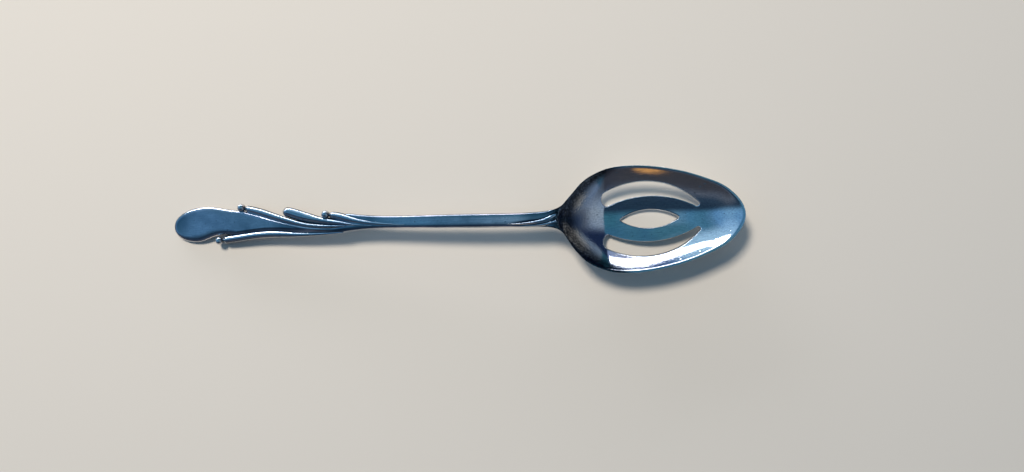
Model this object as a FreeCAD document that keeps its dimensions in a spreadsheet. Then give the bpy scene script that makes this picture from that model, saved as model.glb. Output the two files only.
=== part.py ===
import FreeCAD, Part
import Sketcher
import math
import os

# A silver-plated serving spoon with a pierced bowl and a sweeping reeded handle.
# It lies on a table, bowl up. +X runs from the handle's end to the bowl's tip, +Y is to the
# left of someone who holds the handle and looks along +X, and +Z is up. The origin is on the
# table, under the middle of the whole spoon.

DOC = FreeCAD.newDocument("pierced_spoon")
SHEET = DOC.addObject("Spreadsheet::Sheet", "sizes")

SIZES = (
    ("bowl_length", 69.0, "from the seam at the neck to the bowl's tip"),
    ("bowl_width", 38.9, "across the rim at its widest"),
    ("rim_height", 12.0, "from the table to the middle of the rim"),
    ("rim_land", 1.0, "width of the ground face of the rim, seen from above"),
    ("heel_rise", 0.3, "how far the rim climbs from its middle to the seam"),
    ("tip_rise", 0.25, "how far the rim climbs from its middle to the tip"),
    ("bowl_wall", 1.4, "thickness of the bowl's floor"),
    ("eye_start", 25.0, "from the seam to the middle slot"),
    ("eye_length", 22.1, "length of the middle slot"),
    ("eye_width", 6.7, "width of the middle slot"),
    ("eye_corner", 0.9, "radius of the rounded ends of the middle slot"),
    ("handle_length", 141.7, "from the seam to the end of the leaf"),
    ("handle_turn", 1.97, "degrees that the handle points off the bowl's axis"),
    ("neck_offset", 1.3, "the neck's middle stands this far to the side"),
    ("neck_width", 6.7, "across the neck at the seam"),
    ("leaf_width", 12.9, "across the leaf at its widest"),
    ("arch_height", 9.2, "from the table to the underside of the arched shank"),
    ("shank_thickness", 3.2, "thickness of the shank at its middle line"),
    ("shank_crown", 9.0, "radius of the shank's top, seen along it"),
    ("shank_belly", 4.6, "radius of the shank's underside, seen along it"),
    ("leaf_crown", 36.0, "radius of the leaf's top, seen along it"),
    ("leaf_belly", 90.0, "radius of the leaf's underside, seen along it"),
    ("reed_width", 3.0, "width of a reed near its free end"),
    ("reed_relief", 0.45, "how far a reed stands above the handle's face"),
    ("reed_round", 1.25, "drop from a reed's ridge to its straight flank"),
    ("neck_relief", 0.3, "how far a neck reed stands above the shank"),
    ("neck_sink", 0.6, "how deep a neck reed lies in the shank"),
    ("ball_radius", 1.5, "radius of the ball at a reed's end"),
    ("seat_gap", 0.06, "clear space between a ball and the edge hollowed for it"),
    ("peg_radius", 0.75, "radius of the peg between ball and reed"),
    ("peg_reach", 2.6, "from the reed's end to the ball's middle"),
    ("overrun", 4.0, "how far cutting tools run past what they cut"),
)

for line, (name, value, note) in enumerate(SIZES, start=1):
    SHEET.set(f"A{line}", name)
    SHEET.set(f"B{line}", str(value))
    SHEET.set(f"C{line}", note)
    SHEET.setAlias(f"B{line}", name)
DOC.recompute()


def size(name):
    return float(SHEET.get(name))


HALF_BOWL = size("bowl_width") / 2
HALF_LEAF = size("leaf_width") / 2
INNER_DEPTH = size("rim_height") - size("bowl_wall")
TURN = FreeCAD.Rotation(FreeCAD.Vector(0, 0, 1), -size("handle_turn"))
HANDLE_REACH = size("handle_length") * math.cos(math.radians(size("handle_turn")))
SEAM_X = (HANDLE_REACH - size("bowl_length")) / 2
BOWL_PLACE = FreeCAD.Placement(FreeCAD.Vector(SEAM_X, 0, 0), FreeCAD.Rotation())
HANDLE_PLACE = FreeCAD.Placement(FreeCAD.Vector(SEAM_X, size("neck_offset"), 0), TURN)

# The bowl's form, one row a station. The columns are shares of the bowl's length, of half
# its width, of the rim's height for the outside's depth, of the inside's own depth, and of
# the neck's sideways offset.
BOWL_shares = (
    (-0.030, 0.172, 0.265, -0.050, 1.00),
    (0.000, 0.172, 0.275, -0.020, 1.00),
    (0.023, 0.205, 0.310, 0.055, 1.00),
    (0.045, 0.285, 0.370, 0.170, 0.85),
    (0.067, 0.393, 0.460, 0.300, 0.50),
    (0.096, 0.524, 0.580, 0.440, 0.16),
    (0.125, 0.645, 0.680, 0.570, 0.03),
    (0.154, 0.742, 0.765, 0.685, 0.00),
    (0.212, 0.865, 0.880, 0.845, 0.00),
    (0.270, 0.945, 0.950, 0.935, 0.00),
    (0.340, 0.990, 0.990, 0.985, 0.00),
    (0.410, 1.000, 1.000, 1.000, 0.00),
    (0.501, 0.979, 0.992, 0.990, 0.00),
    (0.617, 0.909, 0.945, 0.935, 0.00),
    (0.733, 0.796, 0.830, 0.815, 0.00),
    (0.820, 0.678, 0.680, 0.655, 0.00),
    (0.907, 0.516, 0.425, 0.390, 0.00),
    (0.965, 0.316, 0.170, 0.140, 0.00),
)
OUTER_DEPTH_COLUMN = 2
INNER_DEPTH_COLUMN = 3
# At the tip the depth and the width both run out, so their slope and curl are given.
TIP_SLOPE_share = 4.6
TIP_CURL_share = 1.7
TIP_OVERRUN_share = 0.02
# How much fuller than a parabola the bowl is across (a share under 0 makes its walls
# straighter), how soon that fades towards the middle, and how far its surfaces reach past the
# rim.
BOWL_FULLNESS_share = -0.12
FADE_share = 0.4
REACH_share = 0.45
# How many steps each surface and curve is measured at. The bowl's stations crowd at its neck,
# where its form changes fastest.
STATIONS = 44
STATION_CROWDING_power = 1.6
STRANDS = 20
RIM_STEPS = 8
REED_STATIONS = 16
OUTLINE_PIECES = 6

# The crescent slot on the +Y side, as corners and the middles of its arcs: shares of the
# bowl's length and of half its width. The other slot is its mirror image.
CRESCENT_shares = {
    "outer_rear": (0.277, 0.519),
    "outer_middle": (0.494, 0.692),
    "outer_front": (0.777, 0.268),
    "front_middle": (0.783, 0.236),
    "inner_front": (0.765, 0.216),
    "inner_middle": (0.497, 0.442),
    "inner_rear": (0.294, 0.272),
    "rear_middle": (0.265, 0.385),
}

# The handle seen from the side: shares of its length, of the arch's height for the underside,
# and of the shank's thickness.
HANDLE_PROFILE_shares = (
    (-0.030, 0.950, 1.03),
    (0.000, 0.960, 1.03),
    (0.110, 1.000, 1.00),
    (0.250, 0.970, 0.94),
    (0.360, 0.885, 0.91),
    (0.445, 0.785, 0.91),
    (0.515, 0.690, 0.90),
    (0.607, 0.555, 0.87),
    (0.692, 0.440, 0.84),
    (0.770, 0.335, 0.80),
    (0.847, 0.225, 0.76),
    (0.910, 0.120, 0.74),
    (0.955, 0.045, 0.74),
    (0.985, 0.010, 0.74),
    (1.030, 0.004, 0.74),
)
SHANK_END_share = 0.42
LEAF_START_share = 0.80
NECK_OVERRUN_share = 0.015

# The outline of the stem, which is the shank and the leaf in one forging: shares of the
# handle's length and of half the leaf's width.
STEM_OUTLINE_shares = (
    (0.042, 0.455),
    (0.140, 0.403),
    (0.300, 0.388),
    (0.440, 0.380),
    (0.508, 0.478),
    (0.537, 0.525),
    (0.565, 0.420),
    (0.607, 0.250),
    (0.663, 0.190),
    (0.713, 0.310),
    (0.768, 0.650),
    (0.812, 0.780),
    (0.856, 0.895),
    (0.907, 1.053),
    (0.949, 0.955),
    (0.981, 0.645),
    (0.996, 0.290),
    (1.000, -0.047),
    (0.997, -0.400),
    (0.985, -0.710),
    (0.956, -0.953),
    (0.921, -0.895),
    (0.892, -0.665),
    (0.861, -0.575),
    (0.805, -0.650),
    (0.734, -0.605),
    (0.663, -0.643),
    (0.607, -0.636),
    (0.550, -0.558),
    (0.494, -0.426),
    (0.437, -0.380),
    (0.300, -0.400),
    (0.140, -0.418),
    (0.042, -0.435),
)

# Each reed as stations from its free end to its tail: shares of the handle's length, of half
# the leaf's width, of the reed's width, and how far its underside is lifted through the
# thickness of the handle.
REED_1_shares = (
    (0.799, 0.870, 0.90, 0.06),
    (0.765, 0.674, 0.97, 0.06),
    (0.738, 0.480, 0.93, 0.08),
    (0.711, 0.295, 0.82, 0.12),
    (0.684, 0.124, 0.67, 0.20),
    (0.657, -0.028, 0.53, 0.32),
    (0.618, -0.150, 0.47, 0.50),
    (0.578, -0.186, 0.38, 0.64),
    (0.539, -0.175, 0.12, 0.78),
)
REED_2_shares = (
    (0.707, 0.720, 0.80, 0.06),
    (0.699, 0.690, 1.08, 0.06),
    (0.680, 0.590, 1.27, 0.06),
    (0.657, 0.434, 1.26, 0.08),
    (0.636, 0.310, 1.16, 0.12),
    (0.614, 0.200, 0.97, 0.18),
    (0.592, 0.110, 0.75, 0.28),
    (0.560, 0.016, 0.53, 0.44),
    (0.520, -0.110, 0.25, 0.64),
    (0.469, -0.190, 0.09, 0.80),
)
REED_3_shares = (
    (0.574, 0.440, 0.84, 0.06),
    (0.564, 0.405, 0.94, 0.06),
    (0.539, 0.255, 0.96, 0.12),
    (0.504, 0.070, 0.68, 0.28),
    (0.468, -0.047, 0.50, 0.46),
    (0.433, -0.116, 0.33, 0.62),
    (0.384, -0.170, 0.11, 0.80),
)
LOWER_REED_shares = (
    (0.860, -0.868, 1.00, 0.06),
    (0.822, -0.760, 1.00, 0.06),
    (0.780, -0.640, 0.96, 0.06),
    (0.737, -0.589, 0.93, 0.08),
    (0.700, -0.606, 0.80, 0.14),
    (0.659, -0.636, 0.58, 0.26),
    (0.620, -0.625, 0.43, 0.42),
    (0.580, -0.592, 0.26, 0.60),
    (0.545, -0.545, 0.10, 0.78),
)
NECK_REED_1_shares = (
    (-0.012, 0.360, 0.93),
    (0.000, 0.240, 0.86),
    (0.012, 0.105, 0.76),
    (0.030, -0.050, 0.60),
    (0.052, -0.140, 0.48),
    (0.080, -0.205, 0.34),
    (0.122, -0.235, 0.12),
)
NECK_REED_2_shares = (
    (-0.012, -0.040, 0.62),
    (0.000, -0.130, 0.56),
    (0.016, -0.225, 0.46),
    (0.038, -0.305, 0.32),
    (0.060, -0.340, 0.22),
    (0.088, -0.362, 0.11),
)


def curve_through(points):
    curve = Part.BSplineCurve()
    curve.interpolate([FreeCAD.Vector(*point) for point in points])
    return curve


def curve_over(rows):
    """A curve through rows of three numbers, with the first number as its parameter."""
    points = [FreeCAD.Vector(*row) for row in rows]
    curve = Part.BSplineCurve()
    curve.interpolate(Points=points, Parameters=[point.x for point in points])
    return curve


def in_pieces(curve, count):
    """A curve as a chain of edges, so that no wall raised on it doubles back on itself."""
    first, last = curve.FirstParameter, curve.LastParameter
    stops = [first + (last - first) * step / count for step in range(count + 1)]
    return [curve.toShape(start, end) for start, end in zip(stops, stops[1:])]


def skin_through(grid):
    surface = Part.BSplineSurface()
    surface.interpolate(grid)
    return surface.toShape()


def closed_prism(edges, bottom, top):
    """A flat closed outline, swept up from one height to another."""
    face = Part.Face(Part.Wire(Part.__sortEdges__(edges)))
    face.translate(FreeCAD.Vector(0, 0, bottom))
    return face.extrude(FreeCAD.Vector(0, 0, top - bottom))


def arc(start, middle, end):
    return Part.Arc(FreeCAD.Vector(*start), FreeCAD.Vector(*middle), FreeCAD.Vector(*end)).toShape()


def feature(name, shape, place):
    item = DOC.addObject("Part::Feature", name)
    item.Label = name
    item.Shape = shape
    item.Placement = place
    return item


def cut_away(name, base, tools):
    """The base without its tools, as a boolean of the document."""
    tool = tools[0]
    if len(tools) > 1:
        tool = DOC.addObject("Part::Compound", name + "_tools")
        tool.Links = tools
    item = DOC.addObject("Part::Cut", name)
    item.Label = name
    item.Base = base
    item.Tool = tool
    return item


# The bowl.

def rim_at(share):
    """The rim's height: a shallow sag between the seam and the tip."""
    from_middle = 2 * share - 1
    rise = size("heel_rise") if from_middle < 0 else size("tip_rise")
    return size("rim_height") + rise * from_middle ** 2


def bowl_skin(depth_column, depth, inset):
    """A dished surface that meets the rim's height along the bowl's outline.

    Across the bowl it is a parabola that turns into a fuller curve towards the sides.
    """
    half = HALF_BOWL
    knots = []
    for row in BOWL_shares:
        width = row[1] - inset / half
        knots.append((row[0], row[depth_column], abs(row[depth_column]) / width ** 2))
    knots.append((1, 0, TIP_CURL_share))
    knots.append((1 + TIP_OVERRUN_share, -TIP_OVERRUN_share * TIP_SLOPE_share, TIP_CURL_share))
    shape = curve_over(knots)
    sideways = curve_over([(row[0], row[4], 0) for row in BOWL_shares] + [(knots[-1][0], 0, 0)])
    first, last = knots[0][0], knots[-1][0]
    grid = []
    for station in range(STATIONS + 1):
        share = first + (last - first) * (station / STATIONS) ** STATION_CROWDING_power
        knot = shape.value(share)
        deep = knot.y * depth
        curl = knot.z * depth / half ** 2
        middle = sideways.value(share).y * size("neck_offset")
        squared_width = deep / curl
        reach = math.sqrt(squared_width + (REACH_share * half) ** 2)
        fullness = BOWL_FULLNESS_share / (squared_width + (FADE_share * half) ** 2)
        strand = []
        for step in range(STRANDS + 1):
            across = reach * (2 * step / STRANDS - 1)
            lift = curl * across ** 2 * (1 + fullness * (across ** 2 - squared_width))
            height = rim_at(share) - deep + lift
            along = share * (size("bowl_length") - inset)
            strand.append(FreeCAD.Vector(along, middle + across, height))
        grid.append(strand)
    return skin_through(grid)


def below_rim():
    """All the space over the bowl's plan that lies under the rim's height."""
    run = size("overrun")
    length = size("bowl_length")
    across = HALF_BOWL + run
    points = []
    for step in range(RIM_STEPS + 1):
        share = step / RIM_STEPS
        points.append((share * length, -across, rim_at(share)))
    points.append((length + run, -across, rim_at(1 + run / length)))
    top = curve_through(points)
    corners = [
        FreeCAD.Vector(*points[-1]),
        FreeCAD.Vector(length + run, -across, -run),
        FreeCAD.Vector(0, -across, -run),
        FreeCAD.Vector(*points[0]),
    ]
    edges = [top.toShape()]
    for start, end in zip(corners, corners[1:]):
        edges.append(Part.makeLine(start, end))
    face = Part.Face(Part.Wire(edges))
    return face.extrude(FreeCAD.Vector(0, 2 * across, 0))


def bowl_blank():
    up = FreeCAD.Vector(0, 0, 2 * size("rim_height") + size("bowl_width"))
    outside = bowl_skin(OUTER_DEPTH_COLUMN, size("rim_height"), 0).extrude(up)
    inside = bowl_skin(INNER_DEPTH_COLUMN, INNER_DEPTH, size("rim_land")).extrude(up)
    return outside.common(below_rim()).cut(inside)


def crescent_slot(side):
    place = {}
    for corner, (along, across) in CRESCENT_shares.items():
        place[corner] = (along * size("bowl_length"), side * across * HALF_BOWL, 0)
    edges = [
        arc(place["outer_rear"], place["outer_middle"], place["outer_front"]),
        arc(place["outer_front"], place["front_middle"], place["inner_front"]),
        arc(place["inner_front"], place["inner_middle"], place["inner_rear"]),
        arc(place["inner_rear"], place["rear_middle"], place["outer_rear"]),
    ]
    return closed_prism(edges, -size("overrun"), size("rim_height"))


def eye_slot():
    """Two shallow arcs that meet in rounded corners, like an open eye."""
    start = size("eye_start")
    middle = start + size("eye_length") / 2
    end = start + size("eye_length")
    half = size("eye_width") / 2
    edges = [
        arc((start, 0, 0), (middle, half, 0), (end, 0, 0)),
        arc((end, 0, 0), (middle, -half, 0), (start, 0, 0)),
    ]
    prism = closed_prism(edges, -size("overrun"), size("rim_height"))
    upright = [edge for edge in prism.Edges if edge.BoundBox.ZLength > edge.BoundBox.XLength]
    return prism.makeFillet(size("eye_corner"), upright)


def make_bowl():
    slots = [
        feature("eye_slot", eye_slot(), BOWL_PLACE),
        feature("left_slot", crescent_slot(1), BOWL_PLACE),
        feature("right_slot", crescent_slot(-1), BOWL_PLACE),
    ]
    blank = feature("bowl_blank", bowl_blank(), BOWL_PLACE)
    return cut_away("bowl", blank, slots)


# The stem: the shank and the leaf at its end.

PROFILE = curve_over(HANDLE_PROFILE_shares)


def leaf_part(share):
    """0 on the shank, 1 on the leaf, with a smooth change between them."""
    way = (share - SHANK_END_share) / (LEAF_START_share - SHANK_END_share)
    way = min(1, max(0, way))
    return way * way * (3 - 2 * way)


def blended(shank_name, leaf_name, share):
    """A curvature that passes from the shank's to the leaf's."""
    part = leaf_part(share)
    return (1 - part) / (2 * size(shank_name)) + part / (2 * size(leaf_name))


def underside_at(share, across):
    middle = PROFILE.value(share).y * size("arch_height")
    return middle + across ** 2 * blended("shank_belly", "leaf_belly", share)


def top_at(share, across):
    middle = underside_at(share, 0) + PROFILE.value(share).z * size("shank_thickness")
    return middle - across ** 2 * blended("shank_crown", "leaf_crown", share)


def handle_skin(height_at):
    reach = HALF_LEAF + size("overrun") / 2
    first = HANDLE_PROFILE_shares[0][0]
    last = HANDLE_PROFILE_shares[-1][0]
    grid = []
    for station in range(STATIONS + 1):
        share = last + (first - last) * station / STATIONS
        strand = []
        for step in range(STRANDS + 1):
            across = reach * (2 * step / STRANDS - 1)
            along = -share * size("handle_length")
            strand.append(FreeCAD.Vector(along, across, height_at(share, across)))
        grid.append(strand)
    return skin_through(grid)


def stem_outline():
    length = size("handle_length")
    half = size("neck_width") / 2
    start = NECK_OVERRUN_share * length
    points = [(start, half, 0)]
    for along, across in STEM_OUTLINE_shares:
        points.append((-along * length, across * HALF_LEAF, 0))
    points.append((start, -half, 0))
    back = Part.makeLine(FreeCAD.Vector(*points[-1]), FreeCAD.Vector(*points[0]))
    return in_pieces(curve_through(points), OUTLINE_PIECES) + [back]


def stem_blank():
    run = size("overrun")
    high = size("arch_height") + size("shank_thickness") + run
    outline = closed_prism(stem_outline(), -run, high)
    up = FreeCAD.Vector(0, 0, 2 * high)
    top = handle_skin(top_at)
    top.translate(-up)
    over_bottom = handle_skin(underside_at).extrude(up)
    return outline.common(top.extrude(up)).common(over_bottom)


# The reeds: tapered bars with flat flanks and a rounded ridge.

# A sketch's own origin and upright axis, as its constraints name them.
ORIGIN = -1
UPRIGHT_AXIS = -2
FULL_TURN = 360


def reed_section(middle, normal, width, bottom, ridge, drop):
    left = middle - normal * (width / 2)
    right = middle + normal * (width / 2)
    flank = ridge - drop
    low_left = FreeCAD.Vector(left.x, left.y, bottom)
    low_right = FreeCAD.Vector(right.x, right.y, bottom)
    high_left = FreeCAD.Vector(left.x, left.y, flank)
    high_right = FreeCAD.Vector(right.x, right.y, flank)
    peak = FreeCAD.Vector(middle.x, middle.y, ridge)
    return Part.Wire([
        Part.makeLine(low_left, low_right),
        Part.makeLine(low_right, high_right),
        Part.Arc(high_right, peak, high_left).toShape(),
        Part.makeLine(high_left, low_left),
    ])


def evenly_along(shares):
    """Stations at even steps from a reed's tail to its free end, with the way it runs there."""
    rows = sorted(shares)
    length = size("handle_length")
    plan = curve_over([(row[0], row[1], 0) for row in rows])
    rest = curve_over([(row[0], row[2], row[-1]) for row in rows])
    first, last = rows[0][0], rows[-1][0]
    stations = []
    for step in range(REED_STATIONS + 1):
        share = first + (last - first) * step / REED_STATIONS
        spot, slope = plan.getD1(share)
        point = FreeCAD.Vector(-share * length, spot.y * HALF_LEAF, 0)
        course = FreeCAD.Vector(-length, slope.y * HALF_LEAF, 0)
        course.normalize()
        normal = FreeCAD.Vector(-course.y, course.x, 0)
        other = rest.value(share)
        stations.append((share, point, normal, other.y, other.z))
    return stations


def bed_of_reed(share, point, lift):
    """The heights of a reed's underside and of the handle's face beside it."""
    face = top_at(share, point.y)
    lowest = underside_at(share, 0)
    return lowest + lift * (face - lowest), face


def reed(shares):
    sections = []
    for share, point, normal, breadth, lift in evenly_along(shares):
        full = min(1, breadth)
        width = breadth * size("reed_width")
        bottom, face = bed_of_reed(share, point, lift)
        ridge = face + size("reed_relief") * full
        drop = size("reed_round") * full
        sections.append(reed_section(point, normal, width, bottom, ridge, drop))
    return Part.makeLoft(sections, True, True)


def neck_reed(shares):
    sections = []
    for share, point, normal, breadth, _ in evenly_along(shares):
        full = math.sqrt(breadth)
        width = breadth * size("reed_width")
        face = top_at(share, point.y)
        ridge = face + size("neck_relief") * full
        bottom = face - size("neck_sink") * full
        drop = (ridge - bottom) / 2
        sections.append(reed_section(point, normal, width, bottom, ridge, drop))
    return Part.makeLoft(sections, True, True)


def ball_outline(body, name):
    """Half the outline of a ball on its peg, drawn against the upright axis of the sketch."""
    sketch = body.newObject("Sketcher::SketchObject", name + "_outline")
    plane = [item for item in body.Origin.OriginFeatures if item.Role == "XY_Plane"][0]
    sketch.AttachmentSupport = [(plane, "")]
    sketch.MapMode = "FlatFace"
    peg = size("peg_radius")
    reach = size("peg_reach")
    radius = size("ball_radius")
    shoulder = math.sqrt(radius ** 2 - peg ** 2)
    corners = [
        FreeCAD.Vector(0, 0, 0),
        FreeCAD.Vector(peg, 0, 0),
        FreeCAD.Vector(peg, reach - shoulder, 0),
        FreeCAD.Vector(0, reach + radius, 0),
    ]
    middle = FreeCAD.Vector(0, reach, 0)
    ball = Part.Circle(middle, FreeCAD.Vector(0, 0, 1), radius)
    foot = sketch.addGeometry(Part.LineSegment(corners[0], corners[1]))
    flank = sketch.addGeometry(Part.LineSegment(corners[1], corners[2]))
    round_part = sketch.addGeometry(
        Part.ArcOfCircle(ball, -math.acos(peg / radius), math.pi / 2))
    axis = sketch.addGeometry(Part.LineSegment(corners[3], corners[0]))
    chain = [(foot, 1, ORIGIN, 1), (foot, 2, flank, 1), (flank, 2, round_part, 1)]
    chain += [(round_part, 2, axis, 1), (axis, 2, foot, 1)]
    for link in chain:
        sketch.addConstraint(Sketcher.Constraint("Coincident", *link))
    sketch.addConstraint(Sketcher.Constraint("Horizontal", foot))
    sketch.addConstraint(Sketcher.Constraint("Vertical", flank))
    sketch.addConstraint(Sketcher.Constraint("Vertical", axis))
    sketch.addConstraint(Sketcher.Constraint("PointOnObject", round_part, 3, UPRIGHT_AXIS))
    bound = (
        ("DistanceX", (foot, 1, foot, 2, peg), "sizes.peg_radius"),
        ("DistanceY", (ORIGIN, 1, round_part, 3, reach), "sizes.peg_reach"),
        ("Radius", (round_part, radius), "sizes.ball_radius"),
    )
    for kind, values, expression in bound:
        index = sketch.addConstraint(Sketcher.Constraint(kind, *values))
        sketch.setExpression(f"Constraints[{index}]", expression)
    return sketch


def make_ball_tip(name, shares):
    """A ball and the short peg that carries it, in line with the reed's free end."""
    share, start, normal, _, lift = evenly_along(shares)[-1]
    course = FreeCAD.Vector(normal.y, -normal.x, 0)
    bottom, face = bed_of_reed(share, start, lift)
    height = (bottom + face + size("reed_relief")) / 2
    base = FreeCAD.Vector(start.x, start.y, height)
    centre = base + course * size("peg_reach")
    body = DOC.addObject("PartDesign::Body", name)
    body.Label = name
    sketch = ball_outline(body, name)
    turned = body.newObject("PartDesign::Revolution", name + "_turned")
    turned.Profile = sketch
    turned.ReferenceAxis = (sketch, ["V_Axis"])
    turned.Angle = FULL_TURN
    lean = FreeCAD.Rotation(FreeCAD.Vector(0, 1, 0), course)
    body.Placement = HANDLE_PLACE.multiply(FreeCAD.Placement(base, lean))
    hollow = DOC.addObject("Part::Sphere", name + "_hollow")
    hollow.setExpression("Radius", "sizes.ball_radius + sizes.seat_gap")
    hollow.Placement = HANDLE_PLACE.multiply(FreeCAD.Placement(centre, FreeCAD.Rotation()))
    groove = DOC.addObject("Part::Cylinder", name + "_groove")
    groove.setExpression("Radius", "sizes.peg_radius + sizes.seat_gap")
    groove.setExpression("Height", "sizes.peg_reach")
    stand = FreeCAD.Rotation(FreeCAD.Vector(0, 0, 1), course)
    groove.Placement = HANDLE_PLACE.multiply(FreeCAD.Placement(base, stand))
    seat = DOC.addObject("Part::Fuse", name + "_seat")
    seat.Base = hollow
    seat.Tool = groove
    return body, seat


def seam_block():
    """Everything on the bowl's side of the seam, which trims what belongs to the handle."""
    half = size("neck_width") + size("overrun")
    block = DOC.addObject("Part::Box", "seam_block")
    block.setExpression("Length", "2 * sizes.overrun")
    block.setExpression("Width", "2 * (sizes.neck_width + sizes.overrun)")
    block.setExpression("Height", "sizes.arch_height + 2 * sizes.shank_thickness + sizes.overrun")
    block.Placement.Base = FreeCAD.Vector(SEAM_X, -half, 0)
    return block


def make_handle():
    trim = seam_block()
    tip_1, seat_1 = make_ball_tip("ball_tip_1", REED_1_shares)
    tip_3, seat_3 = make_ball_tip("ball_tip_3", REED_3_shares)
    lower_tip, lower_seat = make_ball_tip("lower_ball_tip", LOWER_REED_shares)
    reed_3 = feature("upper_reed_3", reed(REED_3_shares), HANDLE_PLACE)
    bar_2 = feature("upper_reed_2_bar", reed(REED_2_shares), HANDLE_PLACE)
    reed_2 = cut_away("upper_reed_2", bar_2, [reed_3, seat_3])
    bar_1 = feature("upper_reed_1_bar", reed(REED_1_shares), HANDLE_PLACE)
    reed_1 = cut_away("upper_reed_1", bar_1, [bar_2, reed_3])
    lower = feature("lower_reed", reed(LOWER_REED_shares), HANDLE_PLACE)
    neck_bar_2 = feature("neck_reed_2_bar", neck_reed(NECK_REED_2_shares), HANDLE_PLACE)
    neck_2 = cut_away("neck_reed_2", neck_bar_2, [trim])
    neck_bar_1 = feature("neck_reed_1_bar", neck_reed(NECK_REED_1_shares), HANDLE_PLACE)
    neck_1 = cut_away("neck_reed_1", neck_bar_1, [trim, neck_bar_2])
    blank = feature("stem_blank", stem_blank(), HANDLE_PLACE)
    reeds = [reed_3, bar_2, bar_1, lower, neck_bar_2, neck_bar_1]
    stem = cut_away("stem", blank, reeds + [seat_1, seat_3, lower_seat, trim])
    return [stem, reed_1, reed_2, reed_3, lower, neck_1, neck_2, tip_1, tip_3, lower_tip]


NODES = [make_bowl()] + make_handle()
DOC.recompute()

failed = [item.Label for item in DOC.Objects if "Invalid" in item.State or "Error" in item.State]
if failed:
    raise RuntimeError(f"these did not build: {failed}")

os.makedirs("parts", exist_ok=True)
for node in NODES:
    if node.Shape.isNull() or not node.Shape.isValid():
        raise RuntimeError(f"{node.Label} has no valid shape")
    box = node.Shape.BoundBox
    print(f"{node.Label}: {len(node.Shape.Solids)} solid, {node.Shape.Volume:.1f} mm3, "
          f"x {box.XMin:.1f} to {box.XMax:.1f}, y {box.YMin:.1f} to {box.YMax:.1f}, "
          f"z {box.ZMin:.2f} to {box.ZMax:.2f}")
    node.Shape.exportStep(f"parts/{node.Label}.step")
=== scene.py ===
# %% [markdown]
# # A silver-plated serving spoon
#
# This lesson dresses the CAD model of a pierced serving spoon. The spoon lies bowl up on a pale
# table. Its bowl is pierced with three slots, its shank is slim and arched, and its leaf-shaped
# end carries sweeping reeds with ball tips.
#
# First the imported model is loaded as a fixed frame. Everything made here is in the same frame:
# +X runs from the leaf to the bowl's tip, +Y across, +Z up, in metres.

# %% Load the frame
import math
from functools import partial

import bpy
import numpy as np
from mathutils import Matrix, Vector
from mathutils.geometry import delaunay_2d_cdt


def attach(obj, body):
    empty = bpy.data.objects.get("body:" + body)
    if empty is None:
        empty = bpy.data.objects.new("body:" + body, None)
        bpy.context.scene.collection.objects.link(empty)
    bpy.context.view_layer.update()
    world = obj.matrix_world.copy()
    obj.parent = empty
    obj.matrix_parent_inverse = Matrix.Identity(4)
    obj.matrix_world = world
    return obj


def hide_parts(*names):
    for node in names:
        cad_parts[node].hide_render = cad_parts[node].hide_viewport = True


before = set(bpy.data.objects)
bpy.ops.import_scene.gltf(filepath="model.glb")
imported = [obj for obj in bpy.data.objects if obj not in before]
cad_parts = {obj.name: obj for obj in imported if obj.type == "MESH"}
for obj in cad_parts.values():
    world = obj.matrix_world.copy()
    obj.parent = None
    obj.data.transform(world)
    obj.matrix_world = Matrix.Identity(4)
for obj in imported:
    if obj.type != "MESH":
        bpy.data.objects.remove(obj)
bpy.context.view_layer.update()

print("nodes:", ", ".join(sorted(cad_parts)))

# %% [markdown]
# ## Working units
#
# The spoon's sizes are easier to read in millimetres, so shapes are worked out in millimetres
# and turned to metres when a mesh is made. The sizes and the tables of shares repeat those of
# the CAD source, which this file can't read.

# %% Sizes of the spoon
MM = 0.001
BOWL_LENGTH = 69.0
HALF_BOWL = 19.45
RIM_HEIGHT = 12.0
HEEL_RISE = 0.3
TIP_RISE = 0.25
RIM_LAND = 0.6
WALL = 1.4
HANDLE_LENGTH = 141.7
HANDLE_TURN = math.radians(1.97)
NECK_OFFSET = 1.3
HALF_LEAF = 6.45
ARCH = 9.2
THICKNESS = 3.2
SEAM_X = (HANDLE_LENGTH * math.cos(HANDLE_TURN) - BOWL_LENGTH) / 2
print(f"the neck meets the bowl at x = {SEAM_X:.2f} mm")


# %% [markdown]
# ## Smooth curves through a few numbers
#
# A die maker draws a spoon with fair curves through a few stations. A natural cubic spline does
# the same: it bends as little as it can between the stations. Each table below holds one row a
# station, so one helper turns a column of a table into such a curve.

# %% A fair curve through stations
def fair_curve(stations, values):
    """A function that follows the values smoothly between their stations."""
    x = np.array(stations, float)
    y = np.array(values, float)
    step = np.diff(x)
    count = len(x)
    matrix = np.eye(count)
    bends = np.zeros(count)
    for i in range(1, count - 1):
        matrix[i, i - 1:i + 2] = step[i - 1], 2 * (step[i - 1] + step[i]), step[i]
        bends[i] = 6 * ((y[i + 1] - y[i]) / step[i] - (y[i] - y[i - 1]) / step[i - 1])
    bend = np.linalg.solve(matrix, bends)

    def at(where):
        where = np.clip(np.asarray(where, float), x[0], x[-1])
        i = np.clip(np.searchsorted(x, where) - 1, 0, count - 2)
        along = where - x[i]
        slope = (y[i + 1] - y[i]) / step[i] - step[i] * (2 * bend[i] + bend[i + 1]) / 6
        curve = bend[i] / 2 + along * (bend[i + 1] - bend[i]) / (6 * step[i])
        return y[i] + along * (slope + along * curve)

    return at


def column_curve(rows, column, scale=1.0):
    """The fair curve through one column of a table, over the table's first column."""
    return fair_curve([row[0] for row in rows], [scale * row[column] for row in rows])


def ease(low, high, value):
    """0 below low, 1 above high, with a smooth change between them."""
    way = np.clip((np.asarray(value, float) - low) / (high - low), 0, 1)
    return way * way * (3 - 2 * way)


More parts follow.
